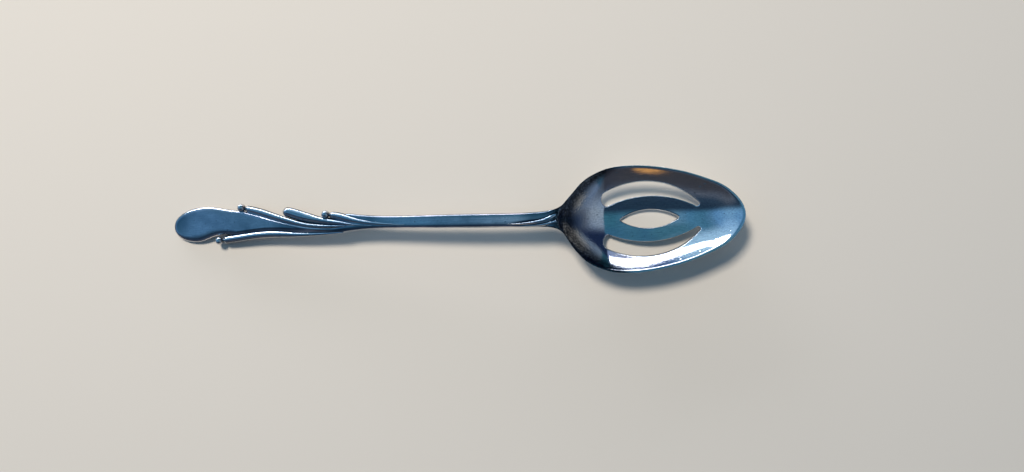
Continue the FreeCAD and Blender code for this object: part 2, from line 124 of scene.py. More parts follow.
def steady(low, high, value):
    """Like ease, but with an even slope between its two rounded ends."""
    way = np.clip((np.asarray(value, float) - low) / (high - low), 0, 1)
    end = np.minimum(way, 1 - way)
    bent = np.where(end < 0.2, end * end / 0.32, (end - 0.1) / 0.8)
    return np.where(way < 0.5, bent, 1 - bent)


def soft_minimum(a, b, softness):
    """The lower of two heights, with the crease between them rounded."""
    overlap = np.maximum(softness - np.abs(a - b), 0) / softness
    return np.minimum(a, b) - overlap * overlap * softness / 4


print("halfway between 0 and 1 a smooth change reads", float(ease(0, 1, 0.5)))

# %% [markdown]
# ## The bowl's two skins
#
# The bowl is struck from sheet, so its inside and outside are two dished surfaces 1.4 mm apart.
# Across the bowl each one is nearly a parabola, a little straighter towards the rim, and the
# heel's inside is straighter still. The walls stay near 45 degrees at most: steeper ones would
# mirror each other instead of the room.
#
# The columns are shares of the length, of half the width, of the outside's depth, of the
# inside's depth, and of the neck's sideways offset.

# %% Heights of the bowl
BOWL = (
    (-0.030, 0.172, 0.265, -0.050, 1.00),
    (0.000, 0.172, 0.275, -0.020, 1.00),
    (0.023, 0.205, 0.310, 0.055, 1.00),
    (0.045, 0.285, 0.370, 0.170, 0.85),
    (0.067, 0.393, 0.460, 0.300, 0.50),
    (0.096, 0.524, 0.580, 0.440, 0.16),
    (0.125, 0.645, 0.680, 0.570, 0.03),
    (0.154, 0.742, 0.765, 0.685, 0.00),
    (0.212, 0.865, 0.880, 0.845, 0.00),
    (0.270, 0.945, 0.950, 0.935, 0.00),
    (0.340, 0.990, 0.990, 0.985, 0.00),
    (0.410, 1.000, 1.000, 1.000, 0.00),
    (0.501, 0.979, 0.992, 0.990, 0.00),
    (0.617, 0.909, 0.945, 0.935, 0.00),
    (0.733, 0.796, 0.830, 0.815, 0.00),
    (0.820, 0.678, 0.680, 0.655, 0.00),
    (0.907, 0.516, 0.425, 0.390, 0.00),
    (0.965, 0.316, 0.170, 0.140, 0.00),
)
TIP_SLOPE = 4.6
TIP_CURL = 1.7
TIP_OVERRUN = 0.02
FULLNESS = -0.12
HEEL_FULLNESS = -0.9
FADE = 0.4
RIM_SOFTNESS = 0.45


def rim_at(share):
    from_middle = 2 * share - 1
    rise = np.where(from_middle < 0, HEEL_RISE, TIP_RISE)
    return RIM_HEIGHT + rise * from_middle ** 2


def bowl_curves(column, inset):
    """Depth and curl of one skin as curves along the bowl."""
    rows = [(r[0], r[column], abs(r[column]) / (r[1] - inset / HALF_BOWL) ** 2) for r in BOWL]
    rows.append((1, 0, TIP_CURL))
    rows.append((1 + TIP_OVERRUN, -TIP_OVERRUN * TIP_SLOPE, TIP_CURL))
    return column_curve(rows, 1), column_curve(rows, 2)


NECK_SHIFT = column_curve(BOWL + ((1 + TIP_OVERRUN, 0, 0, 0, 0),), 4)
OUTSIDE = bowl_curves(2, 0)
INSIDE = bowl_curves(3, RIM_LAND)


def dish(curves, depth, length, heel, x, y):
    """Height of a dished skin over a point of the plan, in the bowl's own millimetres."""
    share = (x - SEAM_X) / length
    deep = curves[0](share) * depth
    curl = curves[1](share) * depth / HALF_BOWL ** 2
    across = y - NECK_SHIFT(share) * NECK_OFFSET
    squared_width = deep / curl
    fuller = FULLNESS + heel * (1 - ease(0.04, 0.30, share))
    fuller = fuller / (squared_width + (FADE * HALF_BOWL) ** 2)
    lift = curl * across ** 2 * (1 + fuller * (across ** 2 - squared_width))
    return rim_at(share) - deep + lift


def bowl_outside(x, y):
    return dish(OUTSIDE, RIM_HEIGHT, BOWL_LENGTH, 0, x, y)


def bowl_inside(x, y):
    """The dished floor, cut off by the flat ground face of the rim."""
    floor = dish(INSIDE, RIM_HEIGHT - WALL, BOWL_LENGTH - RIM_LAND, HEEL_FULLNESS, x, y)
    return soft_minimum(floor, rim_at((x - SEAM_X) / BOWL_LENGTH), RIM_SOFTNESS)


print("floor of the bowl at its deepest:", round(float(bowl_inside(SEAM_X + 28, 3.0)), 2), "mm")

# %% [markdown]
# ## The handle's two skins
#
# The shank and the leaf are one forging. Seen from the side it arches up from the leaf to the
# neck. Seen along its length the shank has a crowned top and a round belly, and the leaf is
# nearly flat. The leaf's face drops at two lines, where the upper reeds and the lower reed lie
# against it. Those drops are the grooves that make the ornament read. A fine raised border runs
# along the upper one, and it catches a line of light.

# %% Heights of the handle
PROFILE = (
    (-0.030, 0.950, 1.03),
    (0.000, 0.960, 1.03),
    (0.110, 1.000, 1.00),
    (0.250, 0.970, 0.94),
    (0.360, 0.885, 0.91),
    (0.445, 0.785, 0.91),
    (0.515, 0.690, 0.90),
    (0.607, 0.555, 0.87),
    (0.692, 0.440, 0.84),
    (0.770, 0.335, 0.80),
    (0.847, 0.225, 0.76),
    (0.910, 0.120, 0.74),
    (0.955, 0.045, 0.74),
    (0.985, 0.010, 0.74),
    (1.030, 0.004, 0.74),
)
UNDER = column_curve(PROFILE, 1, ARCH)
THICK = column_curve(PROFILE, 2, THICKNESS)
UPPER_LINE = fair_curve(
    (0.480, 0.536, 0.568, 0.595, 0.621, 0.648, 0.675, 0.701, 0.728, 0.755, 0.782, 0.809, 0.828, 0.860),
    (-0.10, -0.20, -0.29, -0.30, -0.265, -0.19, -0.08, 0.045, 0.20, 0.37, 0.56, 0.71, 0.84, 1.20))
LOWER_LINE = fair_curve(
    (0.540, 0.574, 0.600, 0.648, 0.675, 0.702, 0.723, 0.756, 0.783, 0.810, 0.838, 0.858, 0.880),
    (-0.52, -0.53, -0.525, -0.50, -0.457, -0.402, -0.383, -0.394, -0.448, -0.524, -0.61, -0.72, -1.10))
NECK_1 = (
    (-0.006, 0.300, 0.46), (0.000, 0.240, 0.46), (0.012, 0.105, 0.44), (0.030, -0.050, 0.40),
    (0.052, -0.140, 0.35), (0.080, -0.205, 0.27), (0.122, -0.235, 0.10),
)
NECK_2 = (
    (-0.006, -0.085, 0.38), (0.000, -0.130, 0.38), (0.016, -0.225, 0.34), (0.038, -0.305, 0.28),
    (0.060, -0.340, 0.21), (0.088, -0.362, 0.10),
)
NECK_LINES = [(column_curve(rows, 1), rows[-1][0]) for rows in (NECK_1, NECK_2)]
SHANK_BELLY, SHANK_CROWN = 4.6, 7.0
LEAF_BELLY, LEAF_CROWN = 90.0, 36.0
GROOVE_DEPTH = 0.6
BORDER, BORDER_WIDTH, BORDER_IN = 0.12, 0.30, 0.45
VALLEY, VALLEY_WIDTH = 0.34, 0.8


def to_handle(x, y):
    """Share of the handle's length and millimetres across it, for a point of the plan."""
    east, north = x - SEAM_X, y - NECK_OFFSET
    along = east * math.cos(HANDLE_TURN) - north * math.sin(HANDLE_TURN)
    across = east * math.sin(HANDLE_TURN) + north * math.cos(HANDLE_TURN)
    return -along / HANDLE_LENGTH, across


def from_handle(share, across):
    along = -np.asarray(share) * HANDLE_LENGTH
    x = SEAM_X + along * math.cos(HANDLE_TURN) + across * math.sin(HANDLE_TURN)
    y = NECK_OFFSET - along * math.sin(HANDLE_TURN) + across * math.cos(HANDLE_TURN)
    return x, y


def handle_under(share, across):
    leaf = ease(0.42, 0.80, share)
    return UNDER(share) + across ** 2 * ((1 - leaf) / (2 * SHANK_BELLY) + leaf / (2 * LEAF_BELLY))


def handle_top(share, across):
    leaf = ease(0.42, 0.80, share)
    crown = (1 - leaf) / (2 * SHANK_CROWN) + leaf / (2 * LEAF_CROWN)
    return UNDER(share) + THICK(share) - across ** 2 * crown


def drops_at(share, across):
    """How far the leaf's face has dropped beside the upper reeds and the lower reed."""
    upper = steady(-0.62, 0.66, across - UPPER_LINE(share) * HALF_LEAF)
    lower = ease(-1.40, 0.65, LOWER_LINE(share) * HALF_LEAF - across)
    upper = upper * ease(0.500, 0.580, share) * (1 - ease(0.845, 0.860, share))
    lower = lower * ease(0.545, 0.620, share) * (1 - ease(0.865, 0.880, share))
    return upper + lower


def neck_valleys(share, across):
    """Where the face is hollowed beside the two lines of the neck, from 0 to 1."""
    hollow = 0.0
    for line, tail in NECK_LINES:
        beside = (across - line(share) * HALF_LEAF) / VALLEY_WIDTH
        hollow = np.maximum(hollow, np.exp(-beside ** 2) * (1 - ease(0.45 * tail, tail, share)))
    return hollow * ease(-0.012, 0.0, share)


print("top of the arch:", round(float(handle_top(0.11, 0.0)), 2), "mm over the table")

# %% [markdown]
# ## One forging, two named pieces
#
# On the real spoon the bowl flows out of the neck with no joint. So both are shaped as one
# surface: the heights of the shank pass smoothly into the heights of the bowl over a few
# millimetres. It is cut at the CAD's seam afterwards, because the bowl and the stem are separate
# pieces here, and the shading is kept across the cut.

# %% Heights of the whole forging
def bowl_share(x):
    """0 on the shank and 1 in the bowl, with a smooth change round the seam."""
    return ease(SEAM_X - 5, SEAM_X + 1.5, x)


def forging_top(x, y):
    share, across = to_handle(x, y)
    handle = handle_top(share, across) - GROOVE_DEPTH * drops_at(share, across)
    beside = (across - UPPER_LINE(share) * HALF_LEAF + BORDER_IN) / BORDER_WIDTH
    handle += BORDER * np.exp(-beside ** 2) * ease(0.520, 0.600, share) * (1 - ease(0.815, 0.845, share))
    bowl = bowl_inside(np.maximum(x, SEAM_X - 1), y)
    way = bowl_share(x)
    return (1 - way) * handle + way * bowl - VALLEY * neck_valleys(share, across)


def forging_under(x, y):
    share, across = to_handle(x, y)
    bowl = bowl_outside(np.maximum(x, SEAM_X - 1), y)
    way = bowl_share(x)
    return (1 - way) * handle_under(share, across) + way * bowl


print("neck at the seam:", round(float(forging_under(SEAM_X, 1.3)), 2), "to",
      round(float(forging_top(SEAM_X, 1.3)), 2), "mm")

# %% [markdown]
# ## The outline and the slots, seen from above
#
# A closed line round the whole forging comes next, and one round each slot. The slots are
# pierced by a punch before the bowl is struck, so they are plain shapes in plan: an eye in the
# middle and a crescent on each side. Every line is walked anticlockwise or clockwise so that the
# metal is always on its left.

# %% Lines in the plan
STEM_OUTLINE = (
    (0.042, 0.455), (0.140, 0.403), (0.300, 0.388), (0.440, 0.380), (0.508, 0.478),
    (0.537, 0.525), (0.565, 0.420), (0.607, 0.250), (0.663, 0.190), (0.713, 0.310),
    (0.768, 0.650), (0.812, 0.780), (0.856, 0.895), (0.907, 1.053), (0.949, 0.955),
    (0.981, 0.645), (0.996, 0.290), (1.000, -0.047), (0.997, -0.400), (0.985, -0.710),
    (0.956, -0.953), (0.921, -0.895), (0.892, -0.665), (0.861, -0.575), (0.805, -0.650),
    (0.734, -0.605), (0.663, -0.643), (0.607, -0.636), (0.550, -0.558), (0.494, -0.426),
    (0.437, -0.380), (0.300, -0.400), (0.140, -0.418), (0.042, -0.435),
)


def distances_along(points):
    return np.concatenate([[0], np.cumsum(np.hypot(*np.diff(points, axis=0).T))])


def fair_loop(points):
    """A dense fair line through points, by the distance walked along them."""
    points = np.array(points, float)
    walked = distances_along(points)
    dense = np.linspace(0, walked[-1], int(walked[-1] / 0.05))
    return np.stack([fair_curve(walked, points[:, k])(dense) for k in (0, 1)], axis=1)


def evenly(points, spacing, closed=True):
    """The same line with its points at even steps."""
    if closed:
        points = np.vstack([points, points[:1]])
    walked = distances_along(points)
    count = max(8, int(round(walked[-1] / spacing)))
    stops = np.linspace(0, walked[-1], count + 1)
    if closed:
        stops = stops[:-1]
    return np.stack([np.interp(stops, walked, points[:, k]) for k in (0, 1)], axis=1)


def bowl_edge(side):
    """The bowl's outline on one side, from just past the seam to the tip."""
    share = 1 - (1 - 0.03) * np.linspace(1, 0, 400) ** 2
    half = np.sqrt(np.maximum(OUTSIDE[0](share) / OUTSIDE[1](share), 0)) * HALF_BOWL
    middle = NECK_SHIFT(share) * NECK_OFFSET
    return np.stack([SEAM_X + share * BOWL_LENGTH, middle + side * half], axis=1)


def make_outline():
    handle = np.array([from_handle(share, across * HALF_LEAF) for share, across in STEM_OUTLINE])
    upper, lower = bowl_edge(1), bowl_edge(-1)
    loop = fair_loop(np.vstack([upper[8:2:-2], handle, lower[2:8:2]]))
    whole = np.vstack([lower[9:], upper[::-1][1:-9], loop])
    return evenly(whole, 0.3)


OUTLINE = make_outline()
print(len(OUTLINE), "points round the forging")


# %% Lines round the slots
def arc_through(start, middle, end, count=160):
    """Points of the circle through three points, from the first to the last."""
    (ax, ay), (bx, by), (cx, cy) = start, middle, end
    twice = 2 * (ax * (by - cy) + bx * (cy - ay) + cx * (ay - by))
    a2, b2, c2 = ax * ax + ay * ay, bx * bx + by * by, cx * cx + cy * cy
    ux = (a2 * (by - cy) + b2 * (cy - ay) + c2 * (ay - by)) / twice
    uy = (a2 * (cx - bx) + b2 * (ax - cx) + c2 * (bx - ax)) / twice
    first, second, last = (math.atan2(y - uy, x - ux) for x, y in (start, middle, end))
    sweep = (last - first) % (2 * math.pi)
    if (second - first) % (2 * math.pi) > sweep:
        sweep -= 2 * math.pi
    turn = first + sweep * np.linspace(0, 1, count)[:-1]
    radius = math.hypot(ax - ux, ay - uy)
    return np.stack([ux + radius * np.cos(turn), uy + radius * np.sin(turn)], axis=1)


CRESCENT = (
    ((0.277, 0.519), (0.494, 0.692), (0.777, 0.268)),
    ((0.777, 0.268), (0.783, 0.236), (0.765, 0.216)),
    ((0.765, 0.216), (0.497, 0.442), (0.294, 0.272)),
    ((0.294, 0.272), (0.265, 0.385), (0.277, 0.519)),
)
EYE_START, EYE_LENGTH, HALF_EYE, EYE_CORNER = 25.0, 22.1, 3.35, 0.9


def rounded(points, radius):
    """A line with its corners rounded, by averaging over a window of that size."""
    fine = evenly(points, 0.05)
    reach = int(radius / 0.05)
    window = np.hanning(2 * reach + 3)
    window /= window.sum()
    wrapped = np.vstack([fine[-reach - 1:], fine, fine[:reach + 1]])
    return np.stack([np.convolve(wrapped[:, k], window, "valid") for k in (0, 1)], axis=1)


def crescent(side):
    parts = []
    for arc in CRESCENT:
        parts.append(arc_through(*[(SEAM_X + a * BOWL_LENGTH, side * c * HALF_BOWL) for a, c in arc]))
    line = rounded(np.vstack(parts), 0.4)
    return evenly(line if side > 0 else line[::-1], 0.25)


def eye():
    start, end = SEAM_X + EYE_START, SEAM_X + EYE_START + EYE_LENGTH
    middle = (start + end) / 2
    upper = arc_through((start, 0), (middle, HALF_EYE), (end, 0))
    lower = arc_through((end, 0), (middle, -HALF_EYE), (start, 0))
    return evenly(rounded(np.vstack([upper, lower]), EYE_CORNER), 0.25)


SLOTS = [crescent(1), crescent(-1), eye()]
for line in SLOTS:
    print("slot:", len(line), "points,", np.round(np.ptp(line, axis=0), 1), "mm in plan")

# %% [markdown]
# ## From lines and heights to a mesh
#
# The metal between the lines is filled with small triangles, once on top and once below, and
# each height function lifts them to their place. A struck edge is never sharp, so along every
# line a small Bezier bulge joins the top to the underside: broad on the leaf and the shank,
# tight on the rim and in the slots. Rows of points that follow each line keep the reflections
# straight beside it.


# %% Helpers for the fill
def area_of(line):
    x, y = line.T
    return 0.5 * np.sum(x * np.roll(y, -1) - np.roll(x, -1) * y)


def inward(line):
    """Unit vectors that point from each point of a line into the metal on its left."""
    course = np.roll(line, -1, axis=0) - np.roll(line, 1, axis=0)
    course /= np.hypot(*course.T)[:, None]
    return np.stack([-course[:, 1], course[:, 0]], axis=1)


def is_inside(points, lines):
    """Whether each point lies in the metal that the lines enclose."""
    inside = np.zeros(len(points), bool)
    for line in lines:
        ends = np.roll(line, -1, axis=0)
        for (ax, ay), (bx, by) in zip(line, ends):
            if ay == by:
                continue
            crosses = (ay > points[:, 1]) != (by > points[:, 1])
            inside ^= crosses & (points[:, 0] < ax + (points[:, 1] - ay) * (bx - ax) / (by - ay))
    return inside


def clear_of(points, others, distance):
    """Whether each point is at least that far from all the others."""
    free = np.ones(len(points), bool)
    for spot in others:
        near = np.abs(points[:, 0] - spot[0]) < distance
        free[near] &= np.hypot(*(points[near] - spot).T) >= distance
    return free


def hex_points(low, high, spacing):
    rows = np.arange(low[1], high[1], spacing * math.sqrt(3) / 2)
    found = []
    for number, y in enumerate(rows):
        x = np.arange(low[0] + (number % 2) * spacing / 2, high[0], spacing)
        found.append(np.stack([x, np.full(len(x), y)], axis=1))
    return np.vstack(found)


def fill(lines, rows, spacings):
    """Triangles over the metal inside the lines, with rows of points that follow each line."""
    ordered = list(lines)
    for line, distances in zip(lines, rows):
        ordered += [line + inward(line) * distance for distance in distances]
    chains, start = [], 0
    for line in ordered:
        count = len(line)
        chains += [(start + i, start + (i + 1) % count) for i in range(count)]
        start += count
    fixed = np.vstack(ordered)
    innermost = np.vstack(lines + ordered[len(lines):])
    grids = []
    for (west, east, spacing) in spacings:
        low = np.array([west, fixed[:, 1].min()])
        high = np.array([east, fixed[:, 1].max()])
        grid = hex_points(low, high, spacing)
        grid = grid[is_inside(grid, lines)]
        grids.append(grid[clear_of(grid, innermost, 0.65 * spacing)])
    points = np.vstack([fixed] + grids)
    found = delaunay_2d_cdt([Vector(p) for p in points.tolist()], chains, [], 0, 1e-7)
    source = [origins[0] for origins in found[3]]
    faces = np.array([[source[i] for i in face] for face in found[2]])
    middles = points[faces].mean(axis=1)
    return points, faces[is_inside(middles, lines)]


print("an even triangle grid has", len(hex_points((0, 0), (10, 10), 0.5)), "points a square centimetre")


# %% [markdown]
# The bulge at the edge starts a little inside the line. On the shank and the leaf it starts
# further in, which gives the soft shoulder that catches a long thin highlight. The tables below
# give how far in, in millimetres, against x.

# %% Shape the edge
EDGE_STEPS = 8
EDGE_REACH = 1.33
STEEPEST_TOP, STEEPEST_UNDER = 1.2, 1.6
PROBE = 0.05
TOP_INSETS = ((-106, 1.0), (-102, 1.6), (-97, 2.8), (-86, 2.7), (-76, 0.60),
              (-45, 0.75), (-25, 1.0), (25, 1.0), (35, 0.7), (42, 0.34))
UNDER_INSETS = ((-106, 0.8), (-84, 0.8), (-76, 0.5), (-45, 0.5), (-25, 0.7),
                (25, 0.7), (35, 0.5), (42, 0.35))
SLOT_INSETS = (0.42, 0.30)


def slope_of(height, points, course, steepest):
    """Rise per millimetre of a surface, walked from each point along its course."""
    ahead = points + course * PROBE
    return np.clip((height(*ahead.T) - height(*points.T)) / PROBE, -steepest, steepest)


def bezier_handle(course, slope, inset):
    """From the end of a skin, the handle that carries its slope on over the line."""
    return np.column_stack([course, slope]) * (EDGE_REACH * inset / np.sqrt(1 + slope ** 2))[:, None]


def edge_bulge(line, top_inset, under_inset):
    """Rows of points from the top skin, round the edge, to the underside."""
    into = inward(line)
    top = line + into * top_inset[:, None]
    low = line + into * under_inset[:, None]
    start = np.column_stack([top, forging_top(*top.T)])
    end = np.column_stack([low, forging_under(*low.T)])
    rise = slope_of(forging_top, top, -into, STEEPEST_TOP)
    sink = slope_of(forging_under, low, -into, STEEPEST_UNDER)
    reach_top = bezier_handle(-into, rise, top_inset)
    reach_low = bezier_handle(-into, sink, under_inset)
    rows = []
    for t in np.linspace(0, 1, EDGE_STEPS + 1):
        s = 1 - t
        rows.append(s ** 3 * start + 3 * s * s * t * (start + reach_top)
                    + 3 * s * t * t * (end + reach_low) + t ** 3 * end)
    return rows


print("the edge starts up to", max(inset for x, inset in TOP_INSETS), "mm inside the line")


# %% Build the forging
TOP_SPACINGS = ((-107, SEAM_X + 2, 0.24), (SEAM_X + 2, 107, 0.5))
UNDER_SPACINGS = ((-107, SEAM_X + 2, 0.4), (SEAM_X + 2, 107, 0.6))
RIM_ROWS = (0.12, 0.24, 0.36, 0.48, 0.60, 0.74, 0.90, 1.10, 1.35)
PLAIN_ROWS = (0.25, 0.55)


def insets_of(number, line):
    """How far inside a line its edge starts, above and below. Line 0 is the outline."""
    if number == 0:
        return [np.interp(line[:, 0], *zip(*table)) for table in (TOP_INSETS, UNDER_INSETS)]
    return [np.full(len(line), inset) for inset in SLOT_INSETS]


def build_forging():
    lines = [OUTLINE] + SLOTS
    lines = [line if (area_of(line) > 0) == (number == 0) else line[::-1]
             for number, line in enumerate(lines)]
    edges, tops, lows = [], [], []
    for number, line in enumerate(lines):
        edge = edge_bulge(line, *insets_of(number, line))
        edges.append(edge)
        tops.append(edge[0][:, :2])
        lows.append(edge[-1][:, :2])
    slot_rows = [PLAIN_ROWS] * len(SLOTS)
    upper, upper_faces = fill(tops, [RIM_ROWS] + slot_rows, TOP_SPACINGS)
    under, under_faces = fill(lows, [PLAIN_ROWS] + slot_rows, UNDER_SPACINGS)
    verts = [np.column_stack([upper, forging_top(*upper.T)])]
    verts.append(np.column_stack([under, forging_under(*under.T)]))
    faces = [list(face) for face in upper_faces.tolist()]
    faces += [[i + len(upper) for i in face[::-1]] for face in under_faces.tolist()]
    total = len(upper) + len(under)
    top_start, low_start = 0, len(upper)
    for edge in edges:
        count = len(edge[0])
        ids = [np.arange(count) + top_start]
        for row in edge[1:-1]:
            verts.append(row)
            ids.append(np.arange(count) + total)
            total += count
        ids.append(np.arange(count) + low_start)
        top_start += count
        low_start += count
        for a, b in zip(ids, ids[1:]):
            faces += np.stack([a, b, np.roll(b, -1), np.roll(a, -1)], axis=1).tolist()
    return np.vstack(verts), faces


forging_points, forging_faces = build_forging()
print(len(forging_points), "points and", len(forging_faces), "faces in the forging")


# %% [markdown]
# ## Cutting the forging at the neck
#
# The whole mesh is made first, so that Blender works out one set of normals for it. Each half
# then takes its faces and keeps those normals, and no line shows where they meet. A grey value
# per point marks painted shade: dark in the grooves beside the reeds and the neck lines, with a
# painted dark reflection over the top of the neck and round the heel of the bowl.

# %% Split into bowl and stem
def whole_normals(points, faces):
    mesh = bpy.data.meshes.new("whole_forging")
    mesh.from_pydata((points * MM).tolist(), [], faces)
    normals = np.zeros(len(points) * 3, np.float32)
    mesh.vertex_normals.foreach_get("vector", normals)
    bpy.data.meshes.remove(mesh)
    return normals.reshape(-1, 3)


def new_object(name, data):
    item = bpy.data.objects.new(name, data)
    bpy.context.scene.collection.objects.link(item)
    return item


def make_piece(name, points, faces, painted_shade, normals=None):
    """A smooth mesh object from points in millimetres."""
    mesh = bpy.data.meshes.new(name)
    mesh.from_pydata((np.asarray(points) * MM).tolist(), [], faces)
    mesh.polygons.foreach_set("use_smooth", [True] * len(mesh.polygons))
    layer = mesh.attributes.new("painted_shade", "FLOAT", "POINT")
    layer.data.foreach_set("value", np.asarray(painted_shade, np.float32))
    mesh.update()
    if normals is not None:
        mesh.normals_split_custom_set_from_vertices(normals.tolist())
    return new_object(name, mesh)


# The heel's dark is painted dark reflection on the bowl's steep heel wall.
HEEL_SHADE_X, HEEL_SHADE_BEND = 45.4, 0.046  # where the heel's dark ends, and how that line bends


# Painted shade in the grooves and the neck's hollows, and painted dark reflection on the top of the neck
# and the heel's steep wall.
def painted_groove_and_heel_shade(points):
    share, across = to_handle(points[:, 0], points[:, 1])
    dropped = drops_at(share, across)
    on_top = points[:, 2] > handle_under(share, across) + 0.6 * THICK(share)
    groove_shade = np.maximum(ease(0.80, 1.00, dropped), 0.8 * neck_valleys(share, across))
    groove_shade = np.where(on_top, groove_shade, 0)
    past_heel = points[:, 0] - HEEL_SHADE_X - HEEL_SHADE_BEND * (points[:, 1] - NECK_OFFSET / 2) ** 2
    neck = ease(SEAM_X - 5, SEAM_X + 1, points[:, 0]) * np.where(points[:, 0] < SEAM_X, on_top, 1)
    return np.maximum(groove_shade, (1 - ease(-4.0, 1.5, past_heel)) * neck)


forging_normals = whole_normals(forging_points, forging_faces)
forging_painted_shade = painted_groove_and_heel_shade(forging_points)
middle_x = np.array([forging_points[face, 0].mean() for face in forging_faces])


def part_of(name, keep):
    """The faces to keep, as a piece with the whole forging's normals and painted shade."""
    chosen = [face for face, kept in zip(forging_faces, keep) if kept]
    used = np.unique(np.concatenate([np.array(face) for face in chosen]))
    place = np.full(len(forging_points), -1)
    place[used] = np.arange(len(used))
    moved = [[int(place[i]) for i in face] for face in chosen]
    return make_piece(name, forging_points[used], moved, forging_painted_shade[used], forging_normals[used])


bowl = part_of("spoon_bowl", middle_x > SEAM_X)
stem = part_of("spoon_stem", middle_x <= SEAM_X)
for item in (bowl, stem):
    print(item.name, [round(size / MM, 2) for size in item.dimensions], "mm")

# %% [markdown]
# ## The reeds
#
# Each reed is a tapered bar struck in relief: a soft ridge, even shoulders and a flank that dives
# into the groove. It could be a curve with a bevel, but its width, height and bed all change
# along it, so rings are lofted along its line. The free end closes in a blunt round nose over
# the last millimetre or so, and the tail runs out in a point on the shank.
#
# The ridge matters more than it seems: an even shoulder mirrors one part of the room over its
# whole width, so the line of light along it is broad and crisp.

# %% Loft a reed
REED_WIDTH = 3.0
RELIEF = 0.45
SHOULDER = 1.25
RIDGE, FLANK = 1.4, 0.45
RING = 32
NOSE_RINGS = 13


def reed_points(rows, stations, nose, relief, sink, towards, overrun):
    """Rings of a reed from its tail to its nose. Rows hold share, across, width and lift."""
    rows = sorted((towards * row[0],) + tuple(row[1:]) for row in rows)
    plan, width, lift = (column_curve(rows, column) for column in (1, 2, -1))
    first, last = rows[0][0], rows[-1][0] + overrun / HANDLE_LENGTH
    tip = nose / HANDLE_LENGTH
    body = first + (last - tip - first) * np.linspace(0, 1, stations) ** 1.2
    front = last - tip * (1 - np.sin(np.linspace(0, math.pi / 2, NOSE_RINGS + 1)))[1:]
    rings = []
    for walked in np.concatenate([body, front]):
        share = towards * walked
        left = (walked - (last - tip)) / tip
        close = math.sqrt(max(1 - left * left, 1e-4)) if left > 0 else 1.0
        across = float(plan(walked)) * HALF_LEAF
        lead = (float(plan(walked + 0.001)) - float(plan(walked - 0.001))) * HALF_LEAF
        course = np.array([-towards * 0.002 * HANDLE_LENGTH, lead])
        course /= np.hypot(*course)
        normal = np.array([-course[1], course[0]])
        breadth = max(float(width(walked)), 0.02)
        full = min(1.0, breadth) if sink is None else min(1.0, breadth / 0.3)
        face, floor = float(handle_top(share, across)), float(UNDER(share))
        ridge = face + relief * full
        if sink is None:
            bottom = floor + float(lift(walked)) * (face - floor)
            flank = ridge - SHOULDER * full
        else:
            bottom = face - sink * full
            flank = (ridge + bottom) / 2
        middle = (flank + bottom) / 2 if bottom < flank else bottom
        ridge = middle + (ridge - middle) * close
        flank = middle + (flank - middle) * close
        bottom = middle + (bottom - middle) * close
        half = breadth * REED_WIDTH / 2 * close
        turn = np.linspace(0, 2 * math.pi, RING, endpoint=False)
        c, s = np.cos(turn), np.sin(turn)
        upper = s >= 0
        side = half * np.sign(c) * np.abs(c) ** np.where(upper, RIDGE, FLANK)
        rise = np.where(upper, ridge - flank, bottom - flank)
        z = flank + rise * np.abs(s) ** np.where(upper, RIDGE, FLANK)
        along = -share * HANDLE_LENGTH + normal[0] * side
        x, y = from_handle(-along / HANDLE_LENGTH, across + normal[1] * side)
        rings.append(np.column_stack([x, y, z]))
    return rings


def tube_faces(count, ring):
    """Quads that join each ring of points to the next one."""
    faces = []
    for a in range(count - 1):
        for k in range(ring):
            n = (k + 1) % ring
            faces.append([a * ring + k, a * ring + n, (a + 1) * ring + n, (a + 1) * ring + k])
    return faces


def make_reed(name, rows, stations=150, nose=0.9, relief=RELIEF, sink=None, towards=1, overrun=0.85):
    rings = reed_points(rows, stations, nose, relief, sink, towards, overrun)
    points = np.vstack(rings + [rings[0].mean(axis=0), rings[-1].mean(axis=0)])
    count = len(rings)
    faces = tube_faces(count, RING)
    tail, front = count * RING, count * RING + 1
    for k in range(RING):
        n = (k + 1) % RING
        faces.append([tail, n, k])
        faces.append([front, (count - 1) * RING + k, (count - 1) * RING + n])
    ring_height = np.concatenate([(r[:, 2] - r[:, 2].min()) / max(np.ptp(r[:, 2]), 0.05) for r in rings])
    # Painted shade: the lower part of each ring, the flanks that dive into the groove, is darkened.
    low, high = (0.55, 0.86) if sink is None else (0.32, 0.52)
    painted_shade = np.concatenate([1 - ease(low, high, ring_height), [0, 0]])
    item = make_piece(name, points, faces, painted_shade)
    print(name, len(faces), "faces,", [round(size / MM, 2) for size in item.dimensions], "mm")
    return item


# %% The four reeds of the leaf
REED_1 = (
    (0.799, 0.870, 0.90, 0.06), (0.765, 0.674, 0.97, 0.06), (0.738, 0.480, 0.93, 0.08),
    (0.711, 0.295, 0.82, 0.12), (0.684, 0.124, 0.67, 0.20), (0.657, -0.028, 0.53, 0.32),
    (0.618, -0.150, 0.47, 0.50), (0.578, -0.186, 0.38, 0.64), (0.539, -0.175, 0.12, 0.78),
)
REED_2 = (
    (0.707, 0.720, 0.80, 0.06), (0.699, 0.690, 1.08, 0.06), (0.680, 0.590, 1.27, 0.06),
    (0.657, 0.434, 1.26, 0.08), (0.636, 0.310, 1.16, 0.12), (0.614, 0.200, 0.97, 0.18),
    (0.592, 0.110, 0.75, 0.28), (0.560, 0.016, 0.53, 0.44), (0.520, -0.110, 0.25, 0.64),
    (0.469, -0.190, 0.09, 0.80),
)
REED_3 = (
    (0.574, 0.440, 0.84, 0.06), (0.564, 0.405, 0.94, 0.06), (0.539, 0.255, 0.96, 0.12),
    (0.504, 0.070, 0.68, 0.28), (0.468, -0.047, 0.50, 0.46), (0.433, -0.116, 0.33, 0.62),
    (0.384, -0.170, 0.11, 0.80),
)
